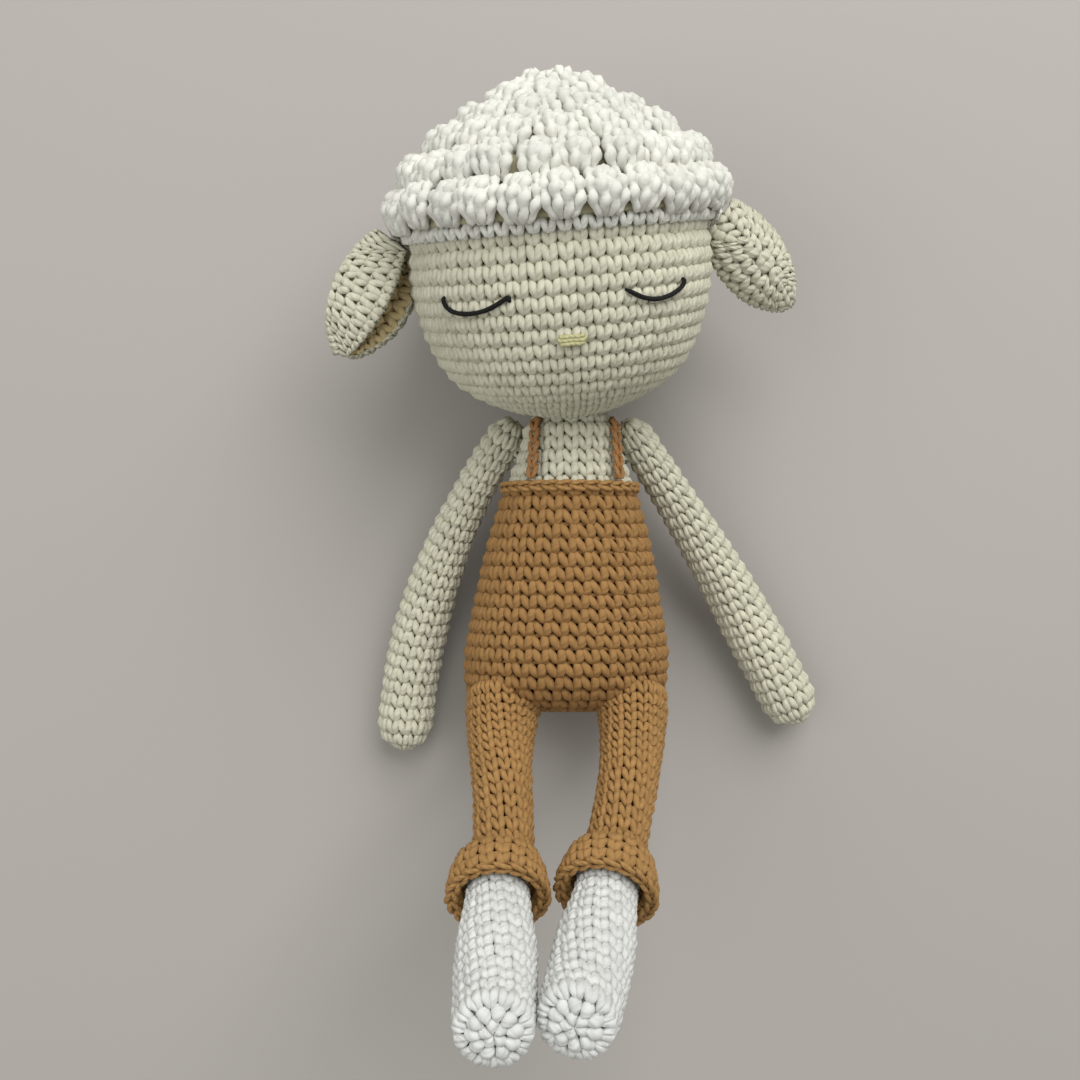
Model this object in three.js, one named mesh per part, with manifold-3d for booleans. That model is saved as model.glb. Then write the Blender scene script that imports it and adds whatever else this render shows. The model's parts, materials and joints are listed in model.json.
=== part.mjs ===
// A crocheted toy sheep in overalls, lying on its back with its legs raised.
// Millimetres and degrees. The toy lies on z = 0 with its head towards +Y and its front towards +Z.
// "Left" and "right" are as seen from the front.
import * as THREE from 'three';
import { mergeVertices } from 'three/addons/utils/BufferGeometryUtils.js';
import Module from 'manifold-3d';

const wasm = await Module();
wasm.setup();

// Fabric, yarn and clearances
const wall = 2.6;
const gap = 0.3;
const seamYarn = 1.2;
const restFlat = 0.5;

// Body, measured from the line across the hips
const hipWidth = 51.6;
const hipDepth = 42;
const waistWidth = 42.6;
const waistDepth = 35.6;
const bibWidth = 32.6;
const bibDepth = 29.2;
const shoulderWidth = 27;
const shoulderDepth = 24;
const crotchDrop = 17.5;
const waistHeight = 25.5;
const bibHeight = 42;
const shoulderHeight = 50;
const neckHeight = 57;
const chestInset = 0.6;
const bodyLean = 0.9;

// Neck: a ball of fabric on which the head tips and turns
const neckBall = 8.2;
const neckSunk = 4.5;
const headSeamBand = [46, 84];

// Head, cap of hair and face
const headRadius = 35.9;
const headNod = 15.5;
const headRoll = 4.8;
const headYaw = 0.3;
const hairDepth = 7.8;
const bobblePitch = 9.5;
const bobbleRise = 2.2;
const hairlineFront = 17;
const hairlineBack = -27;
const edgeYarn = 1.4;
const hairlineDrop = [88, 140];
const eyeAzimuth = 32.2;
const eyeLatitude = -6;
const eyeSpan = 13.2;
const eyeSag = 4.9;
const eyeThread = 0.55;
const noseLatitude = -23;
const noseWidth = 6;
const noseThread = 0.55;

// Ears
const earLength = 26.4;
const earWidth = 17.4;
const earWall = 2.4;
const earTip = 0.4;
const earCurl = 62;
const earAzimuth = 84;
const earLatitude = 9;
const earPose = { left: [12, 3, 33], right: [15, 14, 40] };

// Straps and the edging of the bib
const strapSpread = 10;
const strapShift = 1.4;
const strapWidth = 3.1;
const strapThick = 1.6;
const bibYarn = 0.75;

// Arms
const armRoot = 5.1;
const armEnd = 7.6;
const armLength = 79;
const armHeight = 50.5;
const armDrop = 5.5;
const armSeamBand = [8, 28];
const armOut = { left: [42, -3], right: [37, 29] };

// Legs, cuffs and feet
const legRoot = 8.2;
const legEnd = 7;
const legLength = 52.5;
const legSpread = 17.3;
const legForward = 7.5;
const legBack = 1.4;
const legRise = 55;
const legIn = { left: 1.8, right: 10 };
const footIn = { left: 0.8, right: 14.5 };
const hipSit = 35;
const cuffLength = 9;
const cuffMouth = 22;
const cuffRim = 2.3;
const footLength = 39.5;
const footMiddle = 7.9;
const footToe = 7.3;
const footRise = 7;
const footRound = 5;

// Fineness of the facets
const bodySides = 28;
const headSides = 28;
const limbSides = 16;
const coreSides = 10;
const threadSides = 6;
const hairColumns = 72;
const bobbleSteps = 3;

const rad = THREE.MathUtils.degToRad;
const V = (x, y, z) => new THREE.Vector3(x, y, z);

function colour(hex) {
  return new THREE.MeshStandardMaterial({ color: hex, roughness: 0.95, metalness: 0 });
}
const creamYarn = () => colour(0xe6e2cf);
const hairYarn = () => colour(0xefeee6);
const brownYarn = () => colour(0xa9794a);
const whiteYarn = () => colour(0xeeeee9);
const stuffingFibre = () => colour(0xf6f5f2);

// Closed geometry to solid: shared corners are merged and faces without area are dropped.
function toSolid(geometry) {
  const bare = geometry.index ? geometry.toNonIndexed() : geometry.clone();
  for (const key of Object.keys(bare.attributes)) {
    if (key !== 'position') bare.deleteAttribute(key);
  }
  const merged = mergeVertices(bare, 1e-4);
  const index = merged.index.array;
  const faces = [];
  for (let i = 0; i < index.length; i += 3) {
    const [a, b, c] = [index[i], index[i + 1], index[i + 2]];
    if (a !== b && b !== c && c !== a) faces.push(a, b, c);
  }
  const build = (triVerts) => new wasm.Manifold(new wasm.Mesh({
    numProp: 3,
    vertProperties: new Float32Array(merged.attributes.position.array),
    triVerts: new Uint32Array(triVerts),
  }));
  const solid = build(faces);
  if (solid.volume() > 0) return solid;
  for (let i = 0; i < faces.length; i += 3) [faces[i + 1], faces[i + 2]] = [faces[i + 2], faces[i + 1]];
  return build(faces);
}

function toMesh(name, solid, material) {
  const raw = solid.getMesh();
  const geometry = new THREE.BufferGeometry();
  const stride = raw.numProp;
  const positions = new Float32Array(raw.vertProperties.length / stride * 3);
  for (let i = 0; i < positions.length / 3; i++) {
    for (let k = 0; k < 3; k++) positions[3 * i + k] = raw.vertProperties[stride * i + k];
  }
  geometry.setAttribute('position', new THREE.BufferAttribute(positions, 3));
  geometry.setIndex(new THREE.BufferAttribute(new Uint32Array(raw.triVerts), 1));
  geometry.computeVertexNormals();
  const mesh = new THREE.Mesh(geometry, material);
  mesh.name = name;
  return mesh;
}

// A skin over rings of points, each closed at its ends by a fan
function loft(rings) {
  const corners = [];
  const push = (...points) => points.forEach((p) => corners.push(p.x, p.y, p.z));
  const middle = (ring) => ring.reduce((sum, p) => sum.add(p), V(0, 0, 0)).divideScalar(ring.length);
  const n = rings[0].length;
  const first = middle(rings[0]);
  const last = middle(rings.at(-1));
  for (let j = 0; j < n; j++) {
    const k = (j + 1) % n;
    push(first, rings[0][k], rings[0][j]);
    push(last, rings.at(-1)[j], rings.at(-1)[k]);
    for (let i = 0; i + 1 < rings.length; i++) {
      const [a, b, c, d] = [rings[i][j], rings[i][k], rings[i + 1][k], rings[i + 1][j]];
      push(a, b, c);
      push(a, c, d);
    }
  }
  const geometry = new THREE.BufferGeometry();
  geometry.setAttribute('position', new THREE.Float32BufferAttribute(corners, 3));
  return toSolid(geometry);
}

function lathe(profile, sides) {
  const points = profile.map(([r, y]) => new THREE.Vector2(r, y));
  return toSolid(new THREE.LatheGeometry(points, sides));
}

function ball(radius, centre, sides = limbSides) {
  return toSolid(new THREE.SphereGeometry(radius, sides, sides / 2).translate(centre.x, centre.y, centre.z));
}

// A solid made along +Y from the origin, turned to point along a direction from a place
function aim(solid, direction, place) {
  const turn = new THREE.Quaternion().setFromUnitVectors(V(0, 1, 0), direction.clone().normalize());
  const matrix = new THREE.Matrix4().compose(place, turn, V(1, 1, 1));
  return solid.transform(matrix.elements);
}

// A band of a hollow ball round +Y, between two angles from +Y
function ballBand(inner, outer, from, to, sides = limbSides) {
  const steps = 2;
  const profile = [];
  for (let i = 0; i <= steps; i++) {
    const angle = rad(from + (to - from) * i / steps);
    profile.push([inner * Math.sin(angle), inner * Math.cos(angle)]);
  }
  for (let i = steps; i >= 0; i--) {
    const angle = rad(from + (to - from) * i / steps);
    profile.push([outer * Math.sin(angle), outer * Math.cos(angle)]);
  }
  profile.push(profile[0]);
  return lathe(profile, sides);
}

// A section carried along a curve
function sweep(section, curve, steps) {
  return toSolid(new THREE.ExtrudeGeometry(section, { extrudePath: curve, steps, bevelEnabled: false }));
}

function thread(curve, radius, steps) {
  const round = new THREE.EllipseCurve(0, 0, radius, radius).getPoints(threadSides);
  const section = new THREE.Shape(round.slice(0, threadSides));
  return sweep(section, curve, steps);
}

// Radii of a tube of one length with round ends, as [radius, distance] pairs for a lathe
function roundEnded(length, startRound, endRound, radiusAt, steps = 3, middleSteps = 5) {
  const profile = [];
  const at = (distance, share) => profile.push([radiusAt(distance) * share, distance]);
  for (let i = 0; i < steps; i++) {
    const angle = Math.PI / 2 * i / steps;
    at(startRound * (1 - Math.cos(angle)), Math.sin(angle));
  }
  for (let i = 0; i <= middleSteps; i++) {
    at(startRound + (length - startRound - endRound) * i / middleSteps, 1);
  }
  for (let i = 1; i <= steps; i++) {
    const angle = Math.PI / 2 * i / steps;
    at(length - endRound * (1 - Math.sin(angle)), Math.cos(angle));
  }
  return profile;
}

// Head's own directions: crown, face and the side towards the right
const crown = V(-Math.sin(rad(headRoll)) * Math.cos(rad(headNod)),
  Math.cos(rad(headRoll)) * Math.cos(rad(headNod)), Math.sin(rad(headNod)));
const faceFlat = V(0, 0, 1).addScaledVector(crown, -crown.z).normalize();
const face = faceFlat.clone().applyAxisAngle(crown, rad(headYaw));
const side = crown.clone().cross(face);

// The head lies on the back of its hair, and the body leans up to it.
const hairRadius = headRadius + gap + hairDepth;
const neckReach = headRadius - gap + (neckBall - neckSunk) / 2;
const headHeight = hairRadius - restFlat;
const neckRaise = headHeight - crown.z * neckReach;
const seamInner = neckBall + gap;
const seamOuter = seamInner + seamYarn;
const neckSocket = seamOuter + gap;

// Body outline: how wide and deep it is at each height, round below the hips and drawn in to the neck
const neckPole = neckHeight + neckBall / 4;
const bodyOutline = new THREE.CatmullRomCurve3([
  V(-crotchDrop, 0, 0),
  V(-crotchDrop * 0.93, hipWidth * 0.33, hipDepth * 0.27),
  V(-crotchDrop * 0.57, hipWidth * 0.47, hipDepth * 0.44),
  V(0, hipWidth / 2, hipDepth / 2),
  V(waistHeight / 2, (hipWidth + waistWidth) / 4, (hipDepth + waistDepth) / 4),
  V(waistHeight, waistWidth / 2, waistDepth / 2),
  V(bibHeight, bibWidth / 2, bibDepth / 2),
  V(shoulderHeight, shoulderWidth / 2, shoulderDepth / 2),
  V((shoulderHeight + neckPole) / 2 + 1, shoulderWidth * 0.3, shoulderDepth * 0.34),
  V(neckPole, 0, 0),
]);

// The hips sink restFlat into the floor at their lowest point, restY from the line across the hips.
function settleHips() {
  let height = hipDepth / 2;
  let lowest = 0;
  for (let i = 0; i < 20; i++) {
    const slope = (neckRaise - height) / neckHeight;
    const depths = bodyOutline.getPoints(400).map((p) => [p.z - slope * p.x, p.x]);
    const [deepest, y] = depths.reduce((a, b) => (b[0] > a[0] ? b : a));
    height = deepest - restFlat;
    lowest = y;
  }
  return [height, lowest];
}
const [hipHeight, restY] = settleHips();
const bodyX = (y) => Math.tan(rad(bodyLean)) * (y - restY);
const bodyZ = (y) => hipHeight + (neckRaise - hipHeight) * y / neckHeight;
const neck = V(bodyX(neckHeight), neckHeight, neckRaise);
const headCentre = neck.clone().addScaledVector(crown, neckReach);

// Height, half width and half depth at a share of the outline, moved inwards
function bodyAt(share, inset) {
  const p = bodyOutline.getPoint(share);
  const t = bodyOutline.getTangent(share);
  const length = Math.hypot(t.x, t.y);
  const y = p.x + inset * t.y / length;
  return { y, w: Math.max(p.y - inset * t.x / length, 0), d: Math.max(p.z - inset * t.x / length, 0) };
}

function bodyAtHeight(y, inset = 0) {
  let [low, high] = [0, 1];
  for (let i = 0; i < 40; i++) {
    const middle = (low + high) / 2;
    if (bodyAt(middle, inset).y < y) low = middle;
    else high = middle;
  }
  return bodyAt(low, inset);
}

function bodyRing({ y, w, d }, sides) {
  const ring = [];
  for (let j = 0; j < sides; j++) {
    const angle = 2 * Math.PI * j / sides;
    ring.push(V(bodyX(y) + w * Math.sin(angle), y, bodyZ(y) + d * Math.cos(angle)));
  }
  return ring;
}

function bodySolid(inset, steps, sides) {
  const rings = [];
  for (let i = 0; i <= steps; i++) rings.push(bodyRing(bodyAt(i / steps, inset), sides));
  return loft(rings);
}

// Shoulders: the middle of each arm's round root, with the sewn seam between it and the body
const armSocket = armRoot + gap + seamYarn + gap;
function shoulder(sign) {
  const z = bodyZ(armHeight) - armDrop;
  const { w, d } = bodyAtHeight(armHeight);
  const reach = w * Math.sqrt(1 - (armDrop / d) ** 2);
  return V(bodyX(armHeight) + sign * (reach + armSocket), armHeight, z);
}

// Hips: the middle of each leg's round root
const legSocket = legRoot + gap;
const hip = (sign) => V(sign * legSpread, -crotchDrop + legBack, hipHeight + legForward);
function legDirection(sign, rise, inward) {
  return V(-sign * Math.sin(rad(inward)), -Math.cos(rad(inward)) * Math.cos(rad(rise)),
    Math.cos(rad(inward)) * Math.sin(rad(rise)));
}

const sides = [['left', -1], ['right', 1]];

// What the limbs need free of the body: round sockets, and a groove for each leg at its highest
const limbRoom = [];
for (const [name, sign] of sides) {
  limbRoom.push(ball(armSocket, shoulder(sign)));
  limbRoom.push(ball(legSocket, hip(sign)));
  for (const rise of [legRise, legRise + hipSit]) {
    const room = lathe([[0, 0], [legSocket, 0], [legSocket, legLength], [0, legLength]], limbSides);
    limbRoom.push(aim(room, legDirection(sign, rise, legIn[name]), hip(sign)));
  }
}
const cutAll = (solid, cutters) => cutters.reduce((rest, cutter) => rest.subtract(cutter), solid);
const onFloor = (solid) => solid.trimByPlane([0, 0, 1], 0);

// The origin is the middle of the flat at the back of the hips.
const toy = new THREE.Group();
toy.position.y = -restY;

// Overalls: one shell of fabric from the crotch to the bib, flat where the toy lies on it
const bodyHollow = bodySolid(wall, 10, limbSides);
const stuffingSpace = cutAll(bodySolid(wall + gap, 10, limbSides), [
  ...limbRoom,
  ball(neckBall - wall, neck),
]);
const overalls = cutAll(onFloor(bodySolid(0, 18, bodySides)).trimByPlane([0, -1, 0], -bibHeight), [
  bodyHollow,
  ...limbRoom,
]);
toy.add(toMesh('overalls', overalls, brownYarn()));

// Chest: the cream top of the body with the ball of the neck
const chestOpening = ball(neckBall - wall, neck);
const chestForm = bodySolid(chestInset, 18, bodySides).trimByPlane([0, 1, 0], bibHeight + gap);
const chest = cutAll(chestForm.add(ball(neckBall, neck)), [bodyHollow, chestOpening, ...limbRoom]);
toy.add(toMesh('chest', chest, creamYarn()));
toy.add(toMesh('body_stuffing', stuffingSpace, stuffingFibre()));

// Edging of the bib: a ring of yarn round the top of the overalls
class BibLine extends THREE.Curve {
  getPoint(t, target = V(0, 0, 0)) {
    const { y, w, d } = bodyAtHeight(bibHeight);
    const out = bibYarn + gap;
    const angle = 2 * Math.PI * t;
    return target.set(bodyX(y) + (w + out) * Math.sin(angle), y, bodyZ(y) + (d + out) * Math.cos(angle));
  }
}
const bibEdge = toSolid(new THREE.TubeGeometry(new BibLine(), 32, bibYarn, threadSides, true));
toy.add(toMesh('bib_edge', bibEdge, brownYarn()));

// Straps: flat bands from the bib over the shoulders to the back
class StrapLine extends THREE.Curve {
  constructor(x) {
    super();
    this.x = x;
  }

  getPoint(t, target = V(0, 0, 0)) {
    const out = 2 * gap + strapThick / 2;
    const start = bibHeight + bibYarn + gap;
    const halfWidthAt = (y) => bodyAtHeight(y, chestInset - out).w;
    let [low, high] = [start, neckPole];
    for (let i = 0; i < 30; i++) {
      const middle = (low + high) / 2;
      if (halfWidthAt(middle) > Math.abs(this.x - bodyX(middle))) low = middle;
      else high = middle;
    }
    const y = start + (low - start) * Math.sin(Math.PI * t);
    const { w, d } = bodyAtHeight(y, chestInset - out);
    const across = Math.min(Math.abs(this.x - bodyX(y)) / w, 1);
    const rise = d * Math.sqrt(1 - across * across);
    return target.set(this.x, y, bodyZ(y) + Math.sign(0.5 - t) * rise);
  }
}
for (const [name, sign] of sides) {
  const section = new THREE.Shape([
    new THREE.Vector2(-strapWidth / 2, -strapThick / 4), new THREE.Vector2(-strapWidth / 4, -strapThick / 2),
    new THREE.Vector2(strapWidth / 4, -strapThick / 2), new THREE.Vector2(strapWidth / 2, -strapThick / 4),
    new THREE.Vector2(strapWidth / 2, strapThick / 4), new THREE.Vector2(strapWidth / 4, strapThick / 2),
    new THREE.Vector2(-strapWidth / 4, strapThick / 2), new THREE.Vector2(-strapWidth / 2, strapThick / 4),
  ]);
  const line = new StrapLine(strapShift + sign * strapSpread);
  const spline = new THREE.CatmullRomCurve3(Array.from({ length: 19 }, (_, i) => line.getPoint(i / 18)));
  toy.add(toMesh(`strap_${name}`, sweep(section, spline, 16), brownYarn()));
}

// Neck seam: the ring of yarn between the neck and the head
toy.add(toMesh('head_seam', aim(ballBand(seamInner, seamOuter, ...headSeamBand), crown, neck), creamYarn()));

// Head, in its own frame: +Y to the crown, +Z to the face, +X to the right
const head = new THREE.Group();
head.quaternion.setFromRotationMatrix(new THREE.Matrix4().makeBasis(side, crown, face));
head.position.copy(headCentre);
toy.add(head);
const onHead = (azimuth, latitude, radius) => new THREE.Vector3().setFromSphericalCoords(
  radius, rad(90 - latitude), rad(azimuth));
const neckInHead = V(0, -neckReach, 0);
const floorNormal = V(0, 0, 1).applyQuaternion(head.quaternion.clone().invert());
const aboveFloor = (solid) => solid.trimByPlane(floorNormal.toArray(), -headCentre.z);

const headShell = cutAll(ball(headRadius, V(0, 0, 0), headSides), [
  ball(headRadius - wall, V(0, 0, 0), limbSides),
  ball(neckSocket, neckInHead),
]);
head.add(toMesh('head', headShell, creamYarn()));
const headFill = ball(headRadius - wall - gap, V(0, 0, 0)).subtract(ball(neckSocket + gap, neckInHead));
head.add(toMesh('head_stuffing', headFill, stuffingFibre()));

// Hairline: level over the face and lower behind the ears
function hairline(azimuth) {
  const behind = THREE.MathUtils.smoothstep(Math.abs(azimuth), ...hairlineDrop);
  return hairlineFront + (hairlineBack - hairlineFront) * behind;
}

// Cap of hair: rows of bobbles, each row with as many as fit round it
const bobbleAngle = bobblePitch / hairRadius * 180 / Math.PI;
function hairSurface(azimuth, latitude) {
  const row = (latitude - hairlineFront) / bobbleAngle;
  const middle = hairlineFront + (Math.floor(row) + 0.5) * bobbleAngle;
  const count = Math.max(4, Math.round(2 * Math.PI * hairRadius * Math.cos(rad(middle)) / bobblePitch));
  const across = Math.sin(Math.PI * (row - Math.floor(row)));
  const along = Math.abs(Math.sin(rad(azimuth) * count / 2 + Math.floor(row) * Math.PI / 2));
  return hairRadius - bobbleRise + bobbleRise * Math.sqrt(across) * (0.35 + 0.65 * along);
}
const hairRings = [];
const hairLow = Math.floor((hairlineBack - hairlineFront) / bobbleAngle) * bobbleAngle + hairlineFront;
for (let latitude = hairLow; latitude < 88; latitude += bobbleAngle / bobbleSteps) {
  const ring = [];
  for (let j = 0; j < hairColumns; j++) {
    const azimuth = 360 * j / hairColumns - 180;
    const here = Math.max(latitude, hairline(azimuth));
    ring.push(onHead(azimuth, here, hairSurface(azimuth, here)));
  }
  hairRings.push(ring);
}
const hairCore = hairRings[0].map(() => V(0, 0, 0));
const hairSolid = loft([hairCore, ...hairRings]);
const hairCap = aboveFloor(hairSolid.subtract(ball(headRadius + gap, V(0, 0, 0), headSides)));
head.add(toMesh('hair_cap', hairCap, hairYarn()));

// Edge of the cap: a row of stitches along the hairline
class HairlineCurve extends THREE.Curve {
  getPoint(t, target = V(0, 0, 0)) {
    const azimuth = 360 * t - 180;
    const below = (edgeYarn + gap) / headRadius * 180 / Math.PI * 1.15;
    return target.copy(onHead(azimuth, hairline(azimuth) - below, headRadius + gap + edgeYarn));
  }
}
const hairEdge = toSolid(new THREE.TubeGeometry(new HairlineCurve(), 48, edgeYarn, threadSides, true));
head.add(toMesh('hair_edge', hairEdge, hairYarn()));

// Eyes: an arc of thread for each closed lid
for (const [name, sign] of sides) {
  const points = [];
  for (let i = 0; i <= 8; i++) {
    const across = i / 4 - 1;
    const latitude = eyeLatitude - eyeSag * (1 - across * across);
    points.push(onHead(sign * eyeAzimuth + across * eyeSpan, latitude, headRadius + gap + eyeThread));
  }
  const lid = thread(new THREE.CatmullRomCurve3(points), eyeThread, 10);
  head.add(toMesh(`eye_${name}`, lid, colour(0x15140f)));
}

// Nose: three short stitches side by side
const nosePoint = onHead(0, noseLatitude, headRadius + gap + noseThread);
const noseStitch = (rise) => thread(new THREE.LineCurve3(
  V(-noseWidth / 2, rise, 0).add(nosePoint), V(noseWidth / 2, rise, 0).add(nosePoint)), noseThread, 4);
const nose = [-1, 0, 1].map((i) => noseStitch(i * noseThread * 1.5)).reduce((all, one) => all.add(one));
head.add(toMesh('nose', nose, colour(0xb4af74)));

// Ears: cupped leaves, each sewn on by its narrow end below the hairline
function earSolid() {
  const [lengthSteps, widthSteps] = [9, 8];
  const curl = rad(earCurl);
  const point = (along, across, depth) => {
    const leaf = Math.sin(Math.PI * (0.1 + 0.76 * along)) ** 0.7 * (1 - along ** 5) ** 0.4;
    const half = earWidth / 2 * leaf + earTip;
    const bend = half / Math.sin(curl);
    const angle = curl * across;
    const radius = bend - depth;
    return V(radius * Math.sin(angle), -earLength * along, radius * Math.cos(angle) - bend * Math.cos(curl));
  };
  const rings = [];
  for (let i = 0; i <= lengthSteps; i++) {
    const along = (1 - Math.cos(Math.PI * i / lengthSteps)) / 2;
    const thick = earWall * (0.35 + 0.65 * Math.sin(Math.PI * (0.1 + 0.8 * along)));
    const ring = [];
    for (let j = 0; j <= widthSteps; j++) ring.push(point(along, 2 * j / widthSteps - 1, 0));
    for (let j = widthSteps; j >= 0; j--) ring.push(point(along, 2 * j / widthSteps - 1, thick));
    rings.push(ring);
  }
  return loft(rings);
}
const corner = V(0, 0, 0);
function nearest(mesh, group) {
  group.updateMatrix();
  const points = mesh.geometry.attributes.position;
  let least = Infinity;
  for (let i = 0; i < points.count; i++) {
    least = Math.min(least, corner.fromBufferAttribute(points, i).applyMatrix4(group.matrix).length());
  }
  return least;
}
for (const [name, sign] of sides) {
  const [turn, back, hang] = earPose[name];
  const mesh = toMesh(`ear_${name}`, earSolid(), creamYarn());
  const ear = new THREE.Group();
  const outward = onHead(sign * earAzimuth, earLatitude, 1);
  ear.rotation.set(rad(sign * back), rad(sign * turn), rad(sign * hang), 'ZXY');
  ear.add(mesh);
  ear.position.copy(outward).multiplyScalar(headRadius + earWall);
  for (let i = 0; i < 4; i++) {
    const spare = nearest(mesh, ear) - headRadius - gap;
    ear.position.addScaledVector(outward, -spare);
  }
  head.add(ear);
}

// Arms: tubes that swell towards the hand and bend in the plane of the floor
class ArmLine extends THREE.Curve {
  constructor(sign, [from, to], drop) {
    super();
    Object.assign(this, { sign, from: rad(from), to: rad(to), drop });
    this.flat = Math.sqrt(armLength ** 2 - drop ** 2);
  }

  getPoint(t, target = V(0, 0, 0)) {
    const turn = this.to - this.from;
    const bend = this.flat / turn;
    const out = bend * (Math.cos(this.from) - Math.cos(this.from + turn * t));
    const down = bend * (Math.sin(this.from + turn * t) - Math.sin(this.from));
    return target.set(this.sign * out, -down, -this.drop * Math.sin(Math.PI / 2 * t));
  }
}

function armSolid(line, inset, sidesRound, steps) {
  const swell = (s) => (armEnd - armRoot) * THREE.MathUtils.smoothstep(s, 0, armLength * 0.8);
  const radiusAt = (s) => armRoot + swell(s) - inset;
  const total = armLength + armRoot + armEnd - 2 * inset;
  const profile = roundEnded(total, armRoot - inset, armEnd - inset, (s) => radiusAt(s - armRoot), 3, steps);
  const rings = profile.map(([radius, distance]) => {
    const share = (distance - armRoot + inset) / armLength;
    const inside = THREE.MathUtils.clamp(share, 0, 1);
    const ahead = line.getTangent(inside);
    const place = line.getPoint(inside).addScaledVector(ahead, (share - inside) * armLength);
    const across = V(0, 0, 1).cross(ahead).normalize();
    const over = ahead.clone().cross(across);
    return Array.from({ length: sidesRound }, (_, j) => {
      const angle = 2 * Math.PI * j / sidesRound;
      const reach = across.clone().multiplyScalar(Math.cos(angle)).addScaledVector(over, Math.sin(angle));
      return reach.multiplyScalar(radius).add(place);
    });
  });
  return loft(rings);
}

for (const [name, sign] of sides) {
  const arm = new THREE.Group();
  arm.position.copy(shoulder(sign));
  const line = new ArmLine(sign, armOut[name], arm.position.z - armEnd - gap);
  const hollow = armSolid(line, wall, coreSides, 5);
  const mouth = lathe([[0, 0], [armRoot / 2, 0], [armRoot / 2, armRoot * 2], [0, armRoot * 2]], 12);
  const tube = cutAll(armSolid(line, 0, limbSides, 8), [hollow, aim(mouth, V(-sign, 0, 0), V(0, 0, 0))]);
  arm.add(toMesh(`arm_${name}`, tube, creamYarn()));
  arm.add(toMesh(`arm_${name}_stuffing`, armSolid(line, wall + gap, coreSides, 5), stuffingFibre()));
  const seam = ballBand(armRoot + gap, armRoot + gap + seamYarn, ...armSeamBand);
  arm.add(toMesh(`arm_${name}_seam`, aim(seam, V(-sign, 0, 0), V(0, 0, 0)), creamYarn()));
  toy.add(arm);
}

// Legs: trouser leg, flared cuff and foot, in the leg's own frame with +Y along the leg
function footRadius(s) {
  const middle = footLength * 0.45;
  const swell = THREE.MathUtils.smoothstep(s, 0, middle);
  const taper = THREE.MathUtils.smoothstep(s, middle, footLength - footRound);
  return legEnd + (footMiddle - legEnd) * swell + (footToe - footMiddle) * taper;
}
for (const [name, sign] of sides) {
  const leg = new THREE.Group();
  leg.position.copy(hip(sign));
  const along = legDirection(sign, legRise, legIn[name]);
  leg.quaternion.setFromUnitVectors(V(0, 1, 0), along);
  const footAlong = legDirection(sign, legRise + footRise, footIn[name]);
  const footTurn = leg.quaternion.clone().invert().multiply(
    new THREE.Quaternion().setFromUnitVectors(along, footAlong)).multiply(leg.quaternion);
  const ankle = V(0, legLength, 0);
  const footMatrix = new THREE.Matrix4().compose(ankle, footTurn, V(1, 1, 1));

  const slim = (s) => (legRoot - legEnd) * THREE.MathUtils.smoothstep(s, legRoot, legLength * 0.7);
  const legRadius = (s) => legRoot - slim(s);
  const profile = (inset) => roundEnded(legLength + legRoot + footLength, legRoot - inset, 0.01,
    (s) => legRadius(s) - inset, 3, 8).map(([r, s]) => [r, s - legRoot + inset]);
  const core = lathe(profile(wall), coreSides).trimByPlane([0, -1, 0], -legLength);
  const footCore = (inset) => {
    const line = roundEnded(footLength - inset + wall, 0.01, footRound, (s) => footRadius(s) - inset, 3, 4);
    return lathe(line.map(([r, s]) => [r, s - wall]), coreSides).transform(footMatrix.elements);
  };
  const trouser = lathe(profile(0), limbSides).trimByPlane([0, -1, 0], -legLength + gap).subtract(core);
  leg.add(toMesh(`leg_${name}`, trouser.subtract(footCore(wall)), brownYarn()));

  const sole = roundEnded(footLength + legEnd, 0.01, footRound, (s) => footRadius(s - legEnd), 3, 5);
  const foot = lathe(sole.map(([r, s]) => [r, s - legEnd]), limbSides).transform(footMatrix.elements);
  const footShell = cutAll(foot.trimByPlane([0, 1, 0], legLength), [footCore(wall), core]);
  leg.add(toMesh(`foot_${name}`, footShell, whiteYarn()));
  const legFill = lathe(profile(wall + gap), coreSides).trimByPlane([0, -1, 0], -legLength);
  leg.add(toMesh(`leg_${name}_stuffing`, legFill.add(footCore(wall + gap)), stuffingFibre()));

  const cuffInner = legRadius(legLength) + gap;
  const start = legLength - cuffLength + 2;
  const cuff = lathe([
    [cuffInner, start],
    [cuffInner + cuffRim * 0.8, start],
    [cuffMouth / 2 - 0.4, start + cuffLength * 0.5],
    [cuffMouth / 2, start + cuffLength * 0.9],
    [cuffMouth / 2 - cuffRim / 2, start + cuffLength],
    [cuffMouth / 2 - cuffRim, start + cuffLength * 0.88],
    [cuffMouth / 2 - cuffRim * 1.1, start + cuffLength * 0.55],
    [cuffInner, start + cuffLength * 0.3],
    [cuffInner, start],
  ], 20);
  leg.add(toMesh(`cuff_${name}`, cuff, brownYarn()));
  toy.add(leg);
}

export default toy;
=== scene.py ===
import json
import math

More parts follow.
